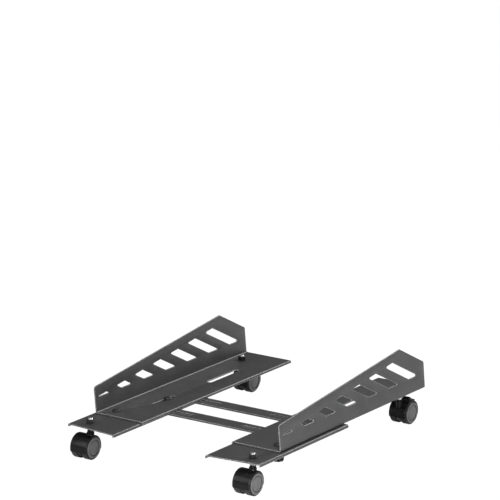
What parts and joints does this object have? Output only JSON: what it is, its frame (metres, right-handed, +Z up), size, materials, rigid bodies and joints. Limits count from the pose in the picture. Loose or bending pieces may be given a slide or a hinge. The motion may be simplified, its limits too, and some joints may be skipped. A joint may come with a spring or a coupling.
{
  "type": "rolling computer tower stand",
  "caption": "Low steel stand on swivel casters that carries a desktop tower between windowed side plates, adjustable in width and length.",
  "frame": {"origin": "floor level under the middle of the stand's bounding box", "axes": "+X towards the right-hand side seen from the front, +Y from the front to the rear, +Z up"},
  "size_m": [0.3716, 0.4997, 0.1407],
  "materials": {
    "powder_steel": "fine textured satin black powder coat on folded steel sheet",
    "black_nylon": "satin black moulded nylon",
    "wheel_nylon": "dark grey moulded wheel with a soft sheen",
    "bright_zinc": "bright zinc plated steel",
    "black_fastener": "black oxide steel fastener"
  },
  "bodies": {
    "frame": {"front_cross_bar": "powder_steel", "rear_cross_bar": "powder_steel"},
    "right_rail": {"rail_right": "powder_steel", "front_bar_stud_right": "black_fastener", "front_bar_nut_right": "black_fastener", "rear_bar_stud_right": "black_fastener", "rear_bar_nut_right": "black_fastener", "guide_bolt_right": "black_fastener", "guide_nut_right": "black_fastener", "front_right_stem": "bright_zinc", "front_right_stem_washer": "bright_zinc", "front_right_stem_nut": "black_fastener"},
    "right_bracket": {"side_bracket_right": "powder_steel", "clamp_bolt_right": "black_fastener", "clamp_washer_right": "bright_zinc", "rear_right_stem": "bright_zinc", "rear_right_stem_washer": "bright_zinc", "rear_right_stem_nut": "black_fastener"},
    "right_clamp_knob": {"clamp_knob_right": "black_nylon"},
    "front_right_caster": {"front_right_housing": "black_nylon", "front_right_axle": "bright_zinc"},
    "front_right_wheel_right": {"front_right_wheel_right": "wheel_nylon"},
    "front_right_wheel_left": {"front_right_wheel_left": "wheel_nylon"},
    "rear_right_caster": {"rear_right_housing": "black_nylon", "rear_right_axle": "bright_zinc", "rear_right_brake_pin": "bright_zinc"},
    "rear_right_wheel_right": {"rear_right_wheel_right": "wheel_nylon"},
    "rear_right_wheel_left": {"rear_right_wheel_left": "wheel_nylon"},
    "rear_right_brake": {"rear_right_brake_lever": "black_nylon"},
    "left_rail": {"rail_left": "powder_steel", "front_bar_stud_left": "black_fastener", "front_bar_nut_left": "black_fastener", "rear_bar_stud_left": "black_fastener", "rear_bar_nut_left": "black_fastener", "guide_bolt_left": "black_fastener", "guide_nut_left": "black_fastener", "front_left_stem": "bright_zinc", "front_left_stem_washer": "bright_zinc", "front_left_stem_nut": "black_fastener"},
    "left_bracket": {"side_bracket_left": "powder_steel", "clamp_bolt_left": "black_fastener", "clamp_washer_left": "bright_zinc", "rear_left_stem": "bright_zinc", "rear_left_stem_washer": "bright_zinc", "rear_left_stem_nut": "black_fastener"},
    "left_clamp_knob": {"clamp_knob_left": "black_nylon"},
    "front_left_caster": {"front_left_housing": "black_nylon", "front_left_axle": "bright_zinc"},
    "front_left_wheel_right": {"front_left_wheel_right": "wheel_nylon"},
    "front_left_wheel_left": {"front_left_wheel_left": "wheel_nylon"},
    "rear_left_caster": {"rear_left_housing": "black_nylon", "rear_left_axle": "bright_zinc", "rear_left_brake_pin": "bright_zinc"},
    "rear_left_wheel_right": {"rear_left_wheel_right": "wheel_nylon"},
    "rear_left_wheel_left": {"rear_left_wheel_left": "wheel_nylon"},
    "rear_left_brake": {"rear_left_brake_lever": "black_nylon"}
  },
  "joints": [
    {"name": "right_width_slide", "type": "slide", "parent": "frame", "child": "right_rail", "axis": [1, 0, 0], "range_m": [-0.055, 0]},
    {"name": "right_length_slide", "type": "slide", "parent": "right_rail", "child": "right_bracket", "axis": [0, 1, 0], "range_m": [-0.015, 0.035]},
    {"name": "right_clamp_knob_turn", "type": "hinge", "parent": "right_bracket", "child": "right_clamp_knob", "pos_m": [0.1576, -0.1468, 0.0435], "axis": [0, 0, 1], "range_deg": [0, 360]},
    {"name": "front_right_swivel", "type": "hinge", "parent": "right_rail", "child": "front_right_caster", "pos_m": [0.1576, -0.2158, 0.04], "axis": [0, 0, 1], "continuous": true},
    {"name": "front_right_right_wheel_spin", "type": "hinge", "parent": "front_right_caster", "child": "front_right_wheel_right", "pos_m": [0.1576, -0.2288, 0.0195], "axis": [1, 0, 0], "continuous": true},
    {"name": "front_right_left_wheel_spin", "type": "hinge", "parent": "front_right_caster", "child": "front_right_wheel_left", "pos_m": [0.1576, -0.2288, 0.0195], "axis": [1, 0, 0], "continuous": true},
    {"name": "rear_right_swivel", "type": "hinge", "parent": "right_bracket", "child": "rear_right_caster", "pos_m": [0.1576, 0.2062, 0.04], "axis": [0, 0, 1], "continuous": true},
    {"name": "rear_right_right_wheel_spin", "type": "hinge", "parent": "rear_right_caster", "child": "rear_right_wheel_right", "pos_m": [0.1576, 0.2192, 0.0195], "axis": [1, 0, 0], "continuous": true},
    {"name": "rear_right_left_wheel_spin", "type": "hinge", "parent": "rear_right_caster", "child": "rear_right_wheel_left", "pos_m": [0.1576, 0.2192, 0.0195], "axis": [1, 0, 0], "continuous": true},
    {"name": "rear_right_brake_press", "type": "hinge", "parent": "rear_right_caster", "child": "rear_right_brake", "pos_m": [0.1576, 0.2257, 0.0409], "axis": [-1, 0, 0], "range_deg": [0, 14]},
    {"name": "left_width_slide", "type": "slide", "parent": "frame", "child": "left_rail", "axis": [-1, 0, 0], "range_m": [-0.055, 0]},
    {"name": "left_length_slide", "type": "slide", "parent": "left_rail", "child": "left_bracket", "axis": [0, 1, 0], "range_m": [-0.015, 0.035]},
    {"name": "left_clamp_knob_turn", "type": "hinge", "parent": "left_bracket", "child": "left_clamp_knob", "pos_m": [-0.1576, -0.1468, 0.0435], "axis": [0, 0, 1], "range_deg": [0, 360]},
    {"name": "front_left_swivel", "type": "hinge", "parent": "left_rail", "child": "front_left_caster", "pos_m": [-0.1576, -0.2158, 0.04], "axis": [0, 0, 1], "continuous": true},
    {"name": "front_left_right_wheel_spin", "type": "hinge", "parent": "front_left_caster", "child": "front_left_wheel_right", "pos_m": [-0.1576, -0.2288, 0.0195], "axis": [1, 0, 0], "continuous": true},
    {"name": "front_left_left_wheel_spin", "type": "hinge", "parent": "front_left_caster", "child": "front_left_wheel_left", "pos_m": [-0.1576, -0.2288, 0.0195], "axis": [1, 0, 0], "continuous": true},
    {"name": "rear_left_swivel", "type": "hinge", "parent": "left_bracket", "child": "rear_left_caster", "pos_m": [-0.1576, 0.2062, 0.04], "axis": [0, 0, 1], "continuous": true},
    {"name": "rear_left_right_wheel_spin", "type": "hinge", "parent": "rear_left_caster", "child": "rear_left_wheel_right", "pos_m": [-0.1576, 0.2192, 0.0195], "axis": [1, 0, 0], "continuous": true},
    {"name": "rear_left_left_wheel_spin", "type": "hinge", "parent": "rear_left_caster", "child": "rear_left_wheel_left", "pos_m": [-0.1576, 0.2192, 0.0195], "axis": [1, 0, 0], "continuous": true},
    {"name": "rear_left_brake_press", "type": "hinge", "parent": "rear_left_caster", "child": "rear_left_brake", "pos_m": [-0.1576, 0.2257, 0.0409], "axis": [-1, 0, 0], "range_deg": [0, 14]}
  ]
}
